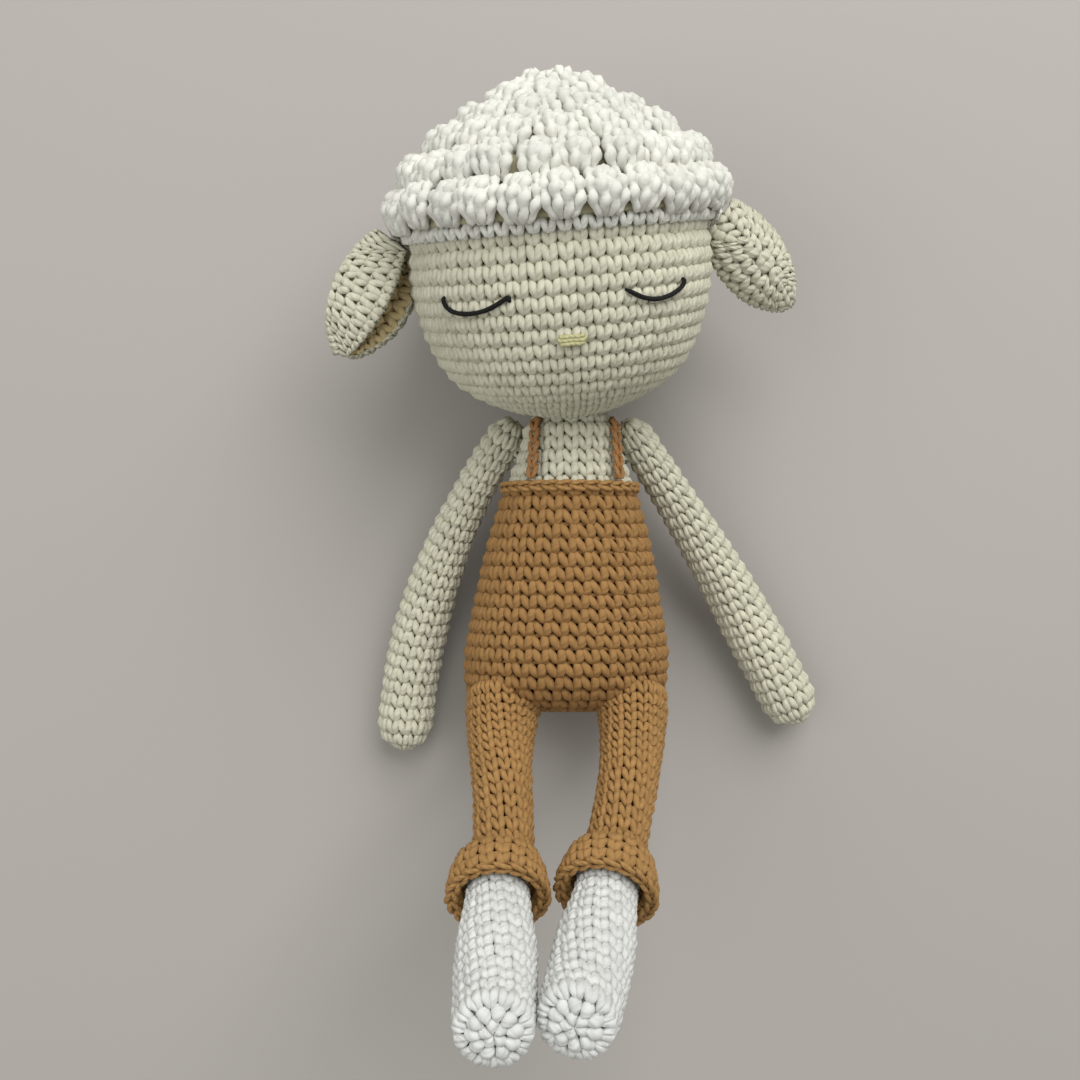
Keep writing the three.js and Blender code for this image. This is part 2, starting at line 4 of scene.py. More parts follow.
import bpy
import numpy as np
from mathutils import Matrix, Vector


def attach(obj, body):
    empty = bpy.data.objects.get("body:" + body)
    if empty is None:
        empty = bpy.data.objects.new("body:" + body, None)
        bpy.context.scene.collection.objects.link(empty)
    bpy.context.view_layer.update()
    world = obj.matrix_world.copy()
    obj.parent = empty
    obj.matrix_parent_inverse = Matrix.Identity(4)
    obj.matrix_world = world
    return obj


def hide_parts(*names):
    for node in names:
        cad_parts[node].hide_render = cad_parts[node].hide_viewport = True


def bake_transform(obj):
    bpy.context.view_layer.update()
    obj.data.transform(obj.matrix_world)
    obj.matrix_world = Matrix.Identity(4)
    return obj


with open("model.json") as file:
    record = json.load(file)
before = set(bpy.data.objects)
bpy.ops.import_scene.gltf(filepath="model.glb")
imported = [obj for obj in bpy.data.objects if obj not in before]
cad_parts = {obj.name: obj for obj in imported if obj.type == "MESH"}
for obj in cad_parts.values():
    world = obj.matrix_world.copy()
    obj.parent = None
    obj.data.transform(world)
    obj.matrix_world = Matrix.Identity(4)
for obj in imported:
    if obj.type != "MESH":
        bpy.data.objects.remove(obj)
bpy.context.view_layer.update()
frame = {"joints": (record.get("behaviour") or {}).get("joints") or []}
mm = 0.001

# Camera, floor and light. The toy is seen from straight above, lying on a pale floor under a
# broad soft light that comes from beyond its head.
camera_place = (-6.75 * mm, 32.88 * mm, 300 * mm)
bpy.ops.object.camera_add(location=camera_place, rotation=(0, 0, 0))
camera = bpy.context.object
camera.data.sensor_width = 36
camera.data.lens = 36
camera.data.clip_start = 0.01
bpy.context.scene.camera = camera
bpy.context.scene.view_settings.view_transform = "Standard"

floor_size = 8
floor_level = -0.05 * mm
floor_colour = (0.355, 0.335, 0.31, 1)
bpy.ops.mesh.primitive_plane_add(size=floor_size, location=(0, 0, floor_level))
floor = bpy.context.object
floor.name = "floor"
floor.data.transform(floor.matrix_world)
floor.matrix_world.identity()
floor_paint = bpy.data.materials.new("pale_floor")
floor_paint.use_nodes = True
floor_shader = floor_paint.node_tree.nodes["Principled BSDF"]
floor_shader.inputs["Base Color"].default_value = floor_colour
floor_shader.inputs["Roughness"].default_value = 0.9
floor.data.materials.append(floor_paint)

sky = bpy.data.worlds.new("studio")
sky.use_nodes = True
sky_light = sky.node_tree.nodes["Background"]
sky_light.inputs["Color"].default_value = (1, 0.99, 0.97, 1)
sky_light.inputs["Strength"].default_value = 0.46
bpy.context.scene.world = sky

lamp_size = 0.8
lamp_aim = Vector((0, 0.03, 0.03))
lamp_powers = {(0.30, 0.62, 0.75): 10.0, (-0.55, 0.0, 0.7): 2.6}
for place, power in lamp_powers.items():
    bpy.ops.object.light_add(type="AREA", location=place)
    lamp = bpy.context.object
    lamp.data.size = lamp_size
    lamp.data.energy = power
    lamp.rotation_euler = (lamp_aim - Vector(place)).to_track_quat("-Z", "Y").to_euler()


# Head: a ball crocheted in rounds with cream yarn, stuffed firmly, open at the bottom for the neck.
# Its rounds climb from the neck to the crown, and it is set out on the axes of the neck's two joints.
def unit(vectors):
    """Directions made one long."""
    return vectors / np.maximum(np.linalg.norm(vectors, axis=-1, keepdims=True), 1e-12)


joints = {joint["name"]: joint for joint in frame["joints"]}


def pivot_of(joint):
    """Where a joint of the frame turns."""
    return np.array(joints[joint]["pos_m"])


neck = pivot_of("neck_turn")
crown = unit(np.array(joints["neck_turn"]["axis"]))
side = unit(np.array(joints["neck_nod"]["axis"]))
face = np.cross(side, crown)
neck_reach = 37.45 * mm
head_centre = neck + crown * neck_reach
head_radius = 35.9 * mm
stitch_size = 3.4 * mm


def full_turn(steps):
    """Angles all the way round, in so many steps."""
    return 2 * np.pi * np.arange(steps) / steps


def travelled(points):
    """How far along a line each of its points lies."""
    return np.concatenate([[0], np.cumsum(np.linalg.norm(np.diff(points, axis=0), axis=1))])


def square_to(points, up):
    """Two directions square to a line at each of its points, the second on the side of up."""
    ahead = unit(np.gradient(points, axis=0))
    across = unit(np.cross(ahead, up))
    return across, np.cross(across, ahead)


def between_rings(rows, around):
    """Faces that join each ring of corners to the next one."""
    return [(i * around + j, i * around + (j + 1) % around,
             (i + 1) * around + (j + 1) % around, (i + 1) * around + j)
            for i in range(rows) for j in range(around)]


def strand(points, radius, sides=6):
    """A round length of yarn through points, closed at both ends: corners, faces, yarn coordinates."""
    points = np.array(points, float)
    radii = np.broadcast_to(np.asarray(radius, float), (len(points),))
    steep = abs(unit(np.gradient(points, axis=0))[:, 2]).max() >= 0.9
    across, over = square_to(points, (1.0, 0.0, 0.0) if steep else (0.0, 0.0, 1.0))
    turn = full_turn(sides)
    ring = np.cos(turn)[None, :, None] * across[:, None] + np.sin(turn)[None, :, None] * over[:, None]
    corners = (points[:, None] + radii[:, None, None] * ring).reshape(-1, 3)
    travel = travelled(points)
    faces = between_rings(len(points) - 1, sides)
    yarn_map = []
    for i in range(len(points) - 1):
        for j in range(sides):
            low, high = j / sides, (j + 1) / sides
            yarn_map += [(travel[i], low), (travel[i], high), (travel[i + 1], high), (travel[i + 1], low)]
    last = (len(points) - 1) * sides
    for j in range(1, sides - 2, 2):
        faces.append((0, j + 2, j + 1, j))
        faces.append((last, last + j, last + j + 1, last + j + 2))
        yarn_map += [(0, 0)] * 4 + [(travel[-1], 0)] * 4
    return corners, np.array(faces), np.array(yarn_map)


def joined(strands):
    """Several strands as one shape that is copied as a whole."""
    corners, faces, yarn_maps, start = [], [], [], 0
    for strand_corners, strand_faces, yarn_map in strands:
        corners.append(strand_corners)
        faces.append(strand_faces + start)
        yarn_maps.append(yarn_map)
        start += len(strand_corners)
    return np.concatenate(corners), np.concatenate(faces), np.concatenate(yarn_maps)


class Form:
    """A stuffed shape as rings of points. probe is the share of its length at which outwards is told."""

    def __init__(self, rings, probe=0.3):
        self.rings = np.array(rings, float)
        steps = np.linalg.norm(np.diff(self.rings, axis=0), axis=2).mean(axis=1)
        self.reach = np.concatenate([[0], np.cumsum(steps)])
        round_it = np.roll(self.rings, -1, axis=1) - np.roll(self.rings, 1, axis=1)
        along = np.gradient(self.rings, axis=0)
        out = unit(np.cross(round_it, along))
        middle = self.rings.mean(axis=1, keepdims=True)
        station = int(probe * (len(self.rings) - 1))
        if ((self.rings - middle) * out)[station].sum() < 0:
            out = -out
        out[0] = out[1]
        out[-1] = out[-2]
        self.out = out

    def length(self):
        """From the first ring to the last, over the surface."""
        return self.reach[-1]

    def girth(self, reach):
        """The way round at a distance along."""
        ring = self.at(np.arange(64) / 64, np.full(64, reach))[0]
        return np.linalg.norm(np.roll(ring, -1, axis=0) - ring, axis=1).sum()

    def at(self, turn, reach):
        """The place and the outward direction at a share of the way round and a distance along."""
        stations, around = self.rings.shape[:2]
        row = np.interp(reach, self.reach, np.arange(stations))
        column = (turn % 1.0) * around
        low = np.minimum(row.astype(int), stations - 2)
        left = column.astype(int) % around
        right = (left + 1) % around
        up, aside = (row - low)[..., None], (column - np.floor(column))[..., None]

        def between(grid):
            lower = grid[low, left] * (1 - aside) + grid[low, right] * aside
            upper = grid[low + 1, left] * (1 - aside) + grid[low + 1, right] * aside
            return lower * (1 - up) + upper * up

        return between(self.rings), unit(between(self.out))


def rounds(form, pitch=stitch_size, width=stitch_size, rise=0.5 * stitch_size, step=6, most=999, first=0.0):
    """The rounds of a crocheted form: for each, its start, its height and how many stitches it has."""
    number = max(1, round((form.length() - first) / pitch))
    height = (form.length() - first) / number
    widest_at = 0.6
    worked = []
    for i in range(number):
        girth = form.girth(first + (i + widest_at) * height) + 2 * np.pi * rise
        count = min(most, max(6, step * round(girth / width / step)))
        worked.append((first + i * height, height, count))
    return worked


def crocheted(form, worked, shape, pitch=stitch_size, lean=0.0, drift=0.0, keep=None, seed=1, loose=0.03):
    """Copies of one stitch laid round after round over a form, and flattened where it meets the floor.
    A stitch's corners are shares of its width, of its round's height and of the pitch outwards.
    keep(turn, reach) leaves stitches out."""
    slant_wobble = 2.5
    corners, faces, yarn_map = shape
    random = np.random.default_rng(seed)
    starts, heights, counts = np.array(worked, float).T
    counts = counts.astype(int)
    turn = np.concatenate([(np.arange(count) + drift * i) / count for i, count in enumerate(counts)])
    reach, height, width = [np.repeat(each, counts) for each in (starts, heights, 1.0 / counts)]
    if keep is not None:
        kept = keep(turn, reach)
        turn, reach, height, width = turn[kept], reach[kept], height[kept], width[kept]
    n = len(turn)
    wobble = random.uniform(-loose, loose, (n, 4))
    along = corners[None, :, 1]
    slant = lean + slant_wobble * wobble[:, 3:]
    across = corners[None, :, 0] + slant * along + wobble[:, :1]
    lift = corners[None, :, 2] + wobble[:, 2:3]
    place, out = form.at(turn[:, None] + across * width[:, None],
                         reach[:, None] + (along + wobble[:, 1:2]) * height[:, None])
    points = (place + out * (lift * pitch)[..., None]).reshape(-1, 3)
    points[:, 2] = np.maximum(points[:, 2], 0.0)
    all_faces = (faces[None] + (np.arange(n) * len(corners))[:, None, None]).reshape(-1, 4)
    tone = np.repeat(random.uniform(0, 1, n), len(corners))
    all_map = np.tile(yarn_map, (n, 1))
    all_map[:, 0] += np.repeat(random.uniform(0, 1, n), len(yarn_map))
    return points, all_faces, all_map, tone


def made(name, parts, materials):
    """One mesh from parts, each (points, faces, yarn map, tone) with the number of its material."""
    points, faces, yarn_maps, tones, slots, start = [], [], [], [], [], 0
    for number, (part_points, part_faces, yarn_map, tone) in parts:
        points.append(part_points)
        faces.append(part_faces + start)
        yarn_maps.append(yarn_map)
        tones.append(tone)
        slots.append(np.full(len(part_faces), number))
        start += len(part_points)
    mesh = bpy.data.meshes.new(name)
    mesh.from_pydata(np.concatenate(points), [], np.concatenate(faces))
    layer = mesh.uv_layers.new(name="yarn")
    layer.data.foreach_set("uv", np.concatenate(yarn_maps).astype(np.float32).ravel())
    tone = mesh.attributes.new("tone", "FLOAT", "POINT")
    tone.data.foreach_set("value", np.concatenate(tones).astype(np.float32))
    mesh.polygons.foreach_set("material_index", np.concatenate(slots).astype(np.int32))
    mesh.polygons.foreach_set("use_smooth", np.ones(len(mesh.polygons), bool))
    for material in materials:
        mesh.materials.append(material)
    mesh.update()
    piece = bpy.data.objects.new(name, mesh)
    bpy.context.collection.objects.link(piece)
    return piece


def lining(form, depth, start=0.0, around=48):
    """The close inner side of the fabric under the stitches, closed at both ends."""
    row_pitch = 2.4 * mm
    off_floor = 0.3 * mm
    rows = max(3, round((form.length() - start) / row_pitch))
    turn, reach = np.meshgrid(np.arange(around) / around, np.linspace(start, form.length(), rows + 1))
    place, out = form.at(turn, reach)
    points = (place - out * depth).reshape(-1, 3)
    points[:, 2] = np.maximum(points[:, 2], off_floor)
    points = np.concatenate([points, place[:1].mean(axis=1), place[-1:].mean(axis=1)])
    first, last = len(points) - 2, len(points) - 1
    faces = between_rings(rows, around)
    for j in range(0, around, 2):
        k, m = j + 1, (j + 2) % around
        faces.append((first, m, k, j))
        faces.append((last, rows * around + j, rows * around + k, rows * around + m))
    faces = np.array(faces)
    return points, faces, np.zeros((faces.size, 2)), np.full(len(points), 0.5)


def new_fabric(name, roughness):
    """A new material, with its tree of nodes and its shader."""
    material = bpy.data.materials.new(name)
    material.use_nodes = True
    shader = material.node_tree.nodes["Principled BSDF"]
    shader.inputs["Roughness"].default_value = roughness
    return material, material.node_tree, shader


def noise(tree, scale, detail=2):
    """Noise laid out in the piece's own coordinates."""
    coordinates = tree.nodes.new("ShaderNodeTexCoord")
    texture = tree.nodes.new("ShaderNodeTexNoise")
    texture.inputs["Scale"].default_value = scale
    texture.inputs["Detail"].default_value = detail
    tree.links.new(coordinates.outputs["Object"], texture.inputs["Vector"])
    return texture.outputs[0]


def two_tone(tree, share, dark, light, shader):
    """Colours the fabric between dark and light."""
    mix = tree.nodes.new("ShaderNodeMix")
    mix.data_type = "RGBA"
    factor, first, second, result = mix.inputs[0], mix.inputs[6], mix.inputs[7], mix.outputs[2]
    tree.links.new(share, factor)
    first.default_value = (*dark, 1)
    second.default_value = (*light, 1)
    tree.links.new(result, shader.inputs["Base Color"])


def yarn_material(name, colour, sheen=0.35, plies=3, fuzz=0.5):
    """Twisted yarn: its plies wind round each strand, with fine fibres and small changes of tone."""
    twist = 2.6
    shade, shine = 0.84, 1.10
    fibre_scale = 1500
    patch_scale = 45
    relief = 0.16 * mm
    material, tree, shader = new_fabric(name, 0.88)
    shader.inputs["Specular IOR Level"].default_value = 0.25
    shader.inputs["Sheen Weight"].default_value = sheen
    shader.inputs["Sheen Roughness"].default_value = 0.5
    shader.inputs["Sheen Tint"].default_value = (*colour, 1)

    def maths(operation, first, second=0.0):
        """One step of arithmetic on numbers or on what nodes give."""
        node = tree.nodes.new("ShaderNodeMath")
        node.operation = operation
        for socket, value in zip(node.inputs, (first, second)):
            if isinstance(value, (int, float)):
                socket.default_value = value
            else:
                tree.links.new(value, socket)
        return node.outputs[0]

    def weighed(*pairs):
        """The sum of values, each times its weight."""
        total = maths("MULTIPLY", *pairs[0])
        for value, weight in pairs[1:]:
            total = maths("ADD", total, maths("MULTIPLY", value, weight))
        return total

    yarn_way = tree.nodes.new("ShaderNodeUVMap")
    yarn_way.uv_map = "yarn"
    along_and_round = tree.nodes.new("ShaderNodeSeparateXYZ")
    tree.links.new(yarn_way.outputs[0], along_and_round.inputs[0])
    along, round_it = along_and_round.outputs[:2]
    ply = maths("SINE", maths("MULTIPLY", weighed((along, twist), (round_it, plies)), 2 * math.pi))
    bump = tree.nodes.new("ShaderNodeBump")
    bump.inputs["Strength"].default_value = 0.7
    bump.inputs["Distance"].default_value = relief
    tree.links.new(weighed((ply, 0.5), (noise(tree, fibre_scale, 3), fuzz)), bump.inputs["Height"])
    tree.links.new(bump.outputs[0], shader.inputs["Normal"])

    tone = tree.nodes.new("ShaderNodeAttribute")
    tone.attribute_name = "tone"
    # Besides the random tone, the colour follows the twist of the plies a little, darker in its grooves and
    # lighter on its crests: painted shade and highlight.
    tone_share = weighed((tone.outputs["Fac"], 0.45), (noise(tree, patch_scale), 0.55), (ply, 0.12))
    two_tone(tree, tone_share, [c * shade for c in colour], [min(1, c * shine) for c in colour], shader)
    return material


def shaded_inner_material(name, colour):
    """The wrong side of the fabric between the stitches, coloured darker than its yarn and darker still in
    patches: painted shade, since little light reaches it.
    """
    material, tree, shader = new_fabric(name, 1.0)
    two_tone(tree, noise(tree, 400), [c * 0.5 for c in colour], colour, shader)
    return material


cream_yarn = yarn_material("cream_yarn", (0.55, 0.535, 0.42))
# A dark cream under the cream stitches: painted shade in the holes between them.
cream_inside_shade = shaded_inner_material("cream_inside_shade", (0.27, 0.25, 0.15))


def single_crochet(spread=1.0, bold=1.0):
    """One stitch: two legs that come out of the round below and part, under a bar across the top."""
    left = np.array([(0.06, -0.10, -0.20), (-0.11, 0.17, 0.10), (-0.27, 0.48, 0.24), (-0.38, 0.78, 0.16),
                     (-0.42, 1.04, -0.16)])
    right = np.array([(0.10, -0.06, -0.18), (0.19, 0.18, 0.14), (0.29, 0.50, 0.27), (0.35, 0.80, 0.19),
                      (0.34, 1.06, -0.16)])
    bar = [(-0.56, 0.98, -0.12), (-0.2, 1.0, -0.08), (0.2, 1.0, -0.08), (0.56, 0.98, -0.12)]
    leg_thickness = bold * np.array([0.17, 0.22, 0.235, 0.22, 0.17])
    bar_thickness = 0.16
    return joined([strand(left * (spread, 1, 1), leg_thickness),
                   strand(right * (spread, 1, 1), leg_thickness),
                   strand(bar, bar_thickness)])


def on_head(azimuth, latitude, radius):
    """Places round the head in degrees: azimuth from the face to its side, latitude up to the crown."""
    azimuth, latitude = np.radians(azimuth)[..., None], np.radians(latitude)[..., None]
    level = np.sin(azimuth) * side + np.cos(azimuth) * face
    return head_centre + np.asarray(radius)[..., None] * (np.sin(latitude) * crown + np.cos(latitude) * level)


def ball_form(radius, latitude):
    """A ball round the head's centre with a radius for each latitude."""
    azimuth = np.degrees(full_turn(96))
    return Form(on_head(azimuth[None], latitude[:, None], radius[:, None]))


def swell(latitude, height, middle, width):
    """A soft rise round a ball, highest at the middle latitude."""
    return height * np.exp(-((latitude - middle) / width) ** 2)


def jaw_at(latitude):
    """How far the lower cheeks and the jaw stand out of a true ball."""
    return swell(latitude, height=1.4 * mm, middle=-42, width=17)


def from_front(azimuth):
    """Degrees away from the face, to either side."""
    return np.abs((azimuth + 180) % 360 - 180)


def smooth(value, low, high):
    """Rises from 0 to 1 between low and high, with soft ends."""
    share = np.clip((value - low) / (high - low), 0, 1)
    return share * share * (3 - 2 * share)


hairline_front = 17
hairline_back = -27
hairline_drop = (88, 140)


def hairline(azimuth):
    """Latitude of the edge of the hair: level over the face and lower behind the ears."""
    return hairline_front + (hairline_back - hairline_front) * smooth(from_front(azimuth), *hairline_drop)


head_low = -76
head_skin = head_radius - 0.5 * stitch_size
head_latitude = np.linspace(head_low, 90, 120)
head_form = ball_form(head_skin + jaw_at(head_latitude), head_latitude)
hair_overlap = 4


def below_hair(turn, reach):
    """The part of the head that the cap leaves free."""
    latitude = np.interp(reach, head_form.reach, head_latitude)
    return latitude < hairline(turn * 360) + hair_overlap


head_rounds = rounds(head_form, most=66)
head_stitches = crocheted(head_form, head_rounds, single_crochet(spread=0.86, bold=1.33),
                          keep=below_hair, seed=3)
head_lining = lining(head_form, depth=0.32 * stitch_size, around=64)
head = made("head_crochet", [(0, head_stitches), (1, head_lining)], [cream_yarn, cream_inside_shade])
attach(head, "head")
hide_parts("head", "head_stuffing")

# Hair: a cap of bobble stitches in whiter yarn, sewn over the crown and the back of the head.
# Each bobble is four tall stitches drawn together at both ends over a soft middle.
hair_yarn = yarn_material("hair_yarn", (0.64, 0.64, 0.582))
# A khaki darker than the hair's yarn: painted shade in the gaps between the bobbles.
hair_inside_shade = shaded_inner_material("hair_inside_shade", (0.46, 0.42, 0.26))
bobble_size = 9.5 * mm
bobble_rise = 4.9 * mm
hair_radius = 44.0 * mm
hair_skin = hair_radius - bobble_rise


def bobble():
    """Tall stitches side by side, each a row of three or four knots, bulging out together."""
    strands = 4
    knots_each = 3.5
    share = np.linspace(0, 1, 17)
    bulge = np.sin(np.pi * share) ** 0.6
    tall = []
    for i in range(strands):
        place = 0.76 * (i / (strands - 1) - 0.5)
        turn = 2 * np.pi * (knots_each * share + 0.37 * i)
        across = place * (0.50 + 0.56 * bulge) + 0.026 * np.sin(turn) * bulge
        along = -0.10 + 1.12 * share
        lift = -0.05 + (0.42 - 0.85 * place**2) * bulge + 0.02 * np.cos(turn)
        thickness = (0.09 + 0.048 * bulge) * (1 + 0.19 * np.cos(turn))
        tall.append(strand(np.stack([across, along, lift], axis=1), thickness))
    return joined(tall)


def hair_skin_at(latitude):
    """The ball under the bobbles, drawn in between the hairline and the crown."""
    return hair_skin - swell(latitude, height=2.6 * mm, middle=58, width=18)


puff = strand([(0, 0.02, -0.1), (0, 0.2, 0), (0, 0.5, 0.05), (0, 0.8, 0), (0, 0.96, -0.1)],
              [0.16, 0.36, 0.43, 0.36, 0.16], sides=10)
bobble_step = math.degrees(bobble_size / hair_radius)
rows_below_front = 4
hair_low = hairline_front - rows_below_front * bobble_step
hair_latitude = np.linspace(hair_low, 88, 120)
hair_form = ball_form(hair_skin_at(hair_latitude), hair_latitude)
row_height = math.radians(bobble_step) * hair_skin
bobble_rounds = []
for start in np.arange(0, hair_form.length() - 0.3 * row_height, row_height):
    height = min(row_height, hair_form.length() - start)
    girth = hair_form.girth(start + 0.45 * height) * hair_radius / hair_skin
    bobble_rounds.append((start, height, max(4, round(girth / bobble_size))))


def in_hair(turn, reach):
    """The part of the ball under the bobbles that the cap covers."""
    latitude = np.interp(reach, hair_form.reach, hair_latitude)
    return latitude > hairline(turn * 360) - hair_overlap


bobbles = crocheted(hair_form, bobble_rounds, bobble(), pitch=bobble_size, drift=0.5, keep=in_hair, seed=5,
                    loose=0.06)
puffs = crocheted(hair_form, bobble_rounds, puff, pitch=bobble_size, drift=0.5, keep=in_hair, seed=5)

cap_below = 2.4
cap_top = 89
cap_hem = 1.8 * mm
ear_azimuth = 62
nape_rounds = [(i * stitch_size, stitch_size, 70) for i in range(5)]
azimuth = np.degrees(full_turn(144))[None]
cap_foot = hairline(azimuth) - cap_below
cap_latitude = cap_foot + np.linspace(0, 1, 40)[:, None] * (cap_top - cap_foot)
cap_form = Form(on_head(azimuth, cap_latitude, hair_skin_at(cap_latitude)))
cap_lining = lining(cap_form, depth=0.5 * mm, start=cap_hem, around=96)


def behind_ears(turn, reach):
    """Plain rounds close the cap at the sides and the nape, where the bobbles leave gaps."""
    return from_front(turn * 360) > ear_azimuth


nape_stitches = crocheted(cap_form, nape_rounds, single_crochet(bold=1.1), keep=behind_ears, seed=6)
crown_points = [head_centre + crown * (hair_skin + lift * mm) for lift in (-2, 0.4, 2.2, 3.4, 4.2)]
crown_knot = strand(crown_points, np.array([2.2, 2.9, 2.7, 1.7, 0.4]) * mm, sides=12)
crown_knot = (*crown_knot, np.full(len(crown_knot[0]), 0.5))
hair = made("hair_bobbles", [(0, bobbles), (0, puffs), (0, nape_stitches), (0, crown_knot), (1, cap_lining)],
            [hair_yarn, hair_inside_shade])
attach(hair, "head")
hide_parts("hair_cap")

# Hair edging: one round of single crochet in the yarn of the hair. It closes the cap along the
# hairline and lies against the head.
edge_height = 3.4 * mm
edge_skin = head_radius + 0.6 * mm
edge_over = 0.6
edge_down = np.linspace(1, 0, 8)[:, None] * math.degrees(edge_height / edge_skin)
edge_form = Form(on_head(azimuth, hairline(azimuth) + edge_over - edge_down, edge_skin))
edge_stitches = round(edge_form.girth(0.5 * edge_height) / stitch_size)
edging = crocheted(edge_form, [(0, edge_height, edge_stitches)], single_crochet(bold=1.1), seed=7)
hair_edge = made("hair_edging", [(0, edging)], [hair_yarn])
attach(hair_edge, "head")
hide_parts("hair_edge")

# Eyes: closed lids, each embroidered with one black cotton thread in a few long stitches that sink
# into the fabric at their ends. The marks are azimuths and latitudes on the head.
thread_black = yarn_material("black_cotton", (0.008, 0.008, 0.007), sheen=0.05, plies=2, fuzz=0.3)
eye_thread = 0.52 * mm
eye_lift = 0.3 * mm
thread_sink = 0.05
eyes = {
    "left": [(-48.0, -6.4), (-47.8, -8.8), (-45.2, -10.9), (-39.5, -12.0), (-33.6, -11.8), (-29.2, -10.9),
             (-24.6, -9.1), (-20.6, -7.3), (-20.5, -8.4)],
    "right": [(20.3, -8.2), (23.4, -9.8), (27.1, -11.3), (31.6, -12.1), (36.4, -11.8), (41.2, -10.5),
              (44.8, -8.4), (45.1, -6.7)],
}


def through(points, steps=6):
    """A smooth line through points."""
    points = np.array(points, float)
    length = np.concatenate([[0], np.cumsum(np.sqrt(np.linalg.norm(np.diff(points, axis=0), axis=1)))])
    slope = np.gradient(points, length, axis=0)
    line = []
    for i in range(len(points) - 1):
        width = length[i + 1] - length[i]
        t = np.linspace(0, 1, steps, endpoint=False)[:, None]
        line.append((2 * t**3 - 3 * t**2 + 1) * points[i] + (t**3 - 2 * t**2 + t) * width * slope[i]
                    + (3 * t**2 - 2 * t**3) * points[i + 1] + (t**3 - t**2) * width * slope[i + 1])
    line.append(points[-1:])
    return np.concatenate(line)


def sewn(name, lines, radius, material, sides=8):
    """Lengths of thread as one piece."""
    twist_length = 3 * mm
    corners, faces, yarn_map = joined([strand(line, radius, sides) for line in lines])
    yarn_map = yarn_map * (1 / twist_length, 1)
    return made(name, [(0, (corners, faces, yarn_map, np.full(len(corners), 0.5)))], [material])


for name, marks in eyes.items():
    marks = [on_head(azimuth, latitude, head_radius + eye_lift) for azimuth, latitude in marks]
    first, last = [mark - (mark - head_centre) * thread_sink for mark in (marks[0], marks[-1])]
    line = through([first, *marks, last])
    from_end = np.minimum(np.arange(len(line)), np.arange(len(line))[::-1])
    tapered = eye_thread * np.clip(0.45 + from_end / 18, 0, 1)
    eye = sewn(f"eye_{name}_thread", [line], tapered, thread_black)
    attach(eye, "head")
    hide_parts(f"eye_{name}")

# Nose: three short stitches of pale green cotton, one above another, sewn through the fabric of
# the head.
thread_green = yarn_material("green_cotton", (0.43, 0.41, 0.22), sheen=0.2, plies=2, fuzz=0.3)
nose_latitude = -23
nose_width = 5.6 * mm
nose_thread = 0.48 * mm
nose_lift = 0.5 * mm
nose_middle = on_head(0, nose_latitude, head_radius + jaw_at(nose_latitude) + nose_lift)
nose_lines = []
for row in (-0.75, 0, 0.75):
    middle = nose_middle + crown * row * mm
    half = side * nose_width / 2 * (1 - 0.18 * abs(row))
    sink = (middle - head_centre) * thread_sink
    nose_lines.append(through([middle - half * 1.02 - sink, middle - half * 0.9, middle,
                               middle + half * 0.9, middle + half * 1.02 - sink]))
nose = sewn("nose_thread", nose_lines, nose_thread, thread_green)
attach(nose, "head")
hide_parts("nose")

# Ears: cupped leaves of cream yarn, crocheted round and round a short chain and doubled, each sewn
# to the side of the head by its narrow end. The left one is folded, so that its hollow side shows.
# Each leaf is bowed as an arc in degrees, and then turned, tipped back and hung outwards.
# The hollow sides take a deeper, warmer cream than the cream yarn: painted shade for the warm shadow inside
# the fold.
hollow_shade_yarn = yarn_material("ear_hollow_painted_shade", (0.54, 0.43, 0.22))
ear_length = 26.4 * mm
ear_root = 3.2 * mm
ear_width = 17.4 * mm
ear_wall = 2.2 * mm
ear_tip = 0.4 * mm
ear_skin = 0.7 * mm
ear_turn = {"left": 4, "right": 15}
ear_back = {"left": 3, "right": 14}
ear_hang = {"left": 33, "right": 40}
ear_broad = {"left": 1.37, "right": 1.133}
ear_deep = {"left": 0.60, "right": 1.133}
ear_arc = {"left": (78, 306), "right": (28, 152)}
ear_shift = {"left": (0.37, 0.0), "right": (0.0, -0.532)}
outer_share = 0.53


def turned(axis, degrees):
    """A turn about one of the head's axes."""
    c, s = math.cos(math.radians(degrees)), math.sin(math.radians(degrees))
    rows = {"x": [[1, 0, 0], [0, c, -s], [0, s, c]], "y": [[c, 0, s], [0, 1, 0], [-s, 0, c]],
            "z": [[c, -s, 0], [s, c, 0], [0, 0, 1]]}
    return np.array(rows[axis], float)


def ear_rings(name):
    """The doubled leaf, from the middle of its outer side over the rim to the middle of its inner side."""
    (first, last), (shift, lift) = ear_arc[name], ear_shift[name]
    turn = full_turn(72)
    along = 0.5 - 0.5 * np.cos(turn)
    edge = np.clip(3 * np.sin(turn), -1, 1)
    outwards = [(share, 0.0) for share in np.linspace(-0.08, 0.94, 12)]
    over_rim = [(0.985, 0.25), (1.0, 0.5), (0.985, 0.75)]
    inwards = [(share, 1.0) for share, _ in reversed(outwards)]
    rings = []
    for share, through_wall in outwards + over_rim + inwards:
        here = 0.5 + (along - 0.5) * (0.5 + 0.5 * abs(share))
        # Broad in the middle, narrower at the root and round at the tip.
        leaf = np.sin(np.pi * (0.16 + 0.70 * here)) ** 0.7 * np.maximum(1 - here**5, 0) ** 0.4
        half = ear_width / 2 * leaf + ear_tip
        thick = (ear_wall - 2 * ear_skin) * (0.35 + 0.65 * np.sin(np.pi * (0.1 + 0.8 * here)))
        depth = ear_skin + thick * through_wall
        angle = np.radians((first + last) / 2 - (last - first) / 2 * edge * share)
        rings.append(np.stack([(ear_broad[name] * half - depth) * np.cos(angle) + shift * half,
                               ear_root - (ear_length + ear_root) * here,
                               (ear_deep[name] * half - depth) * np.sin(angle) + lift * half], axis=1))
    return np.array(rings)


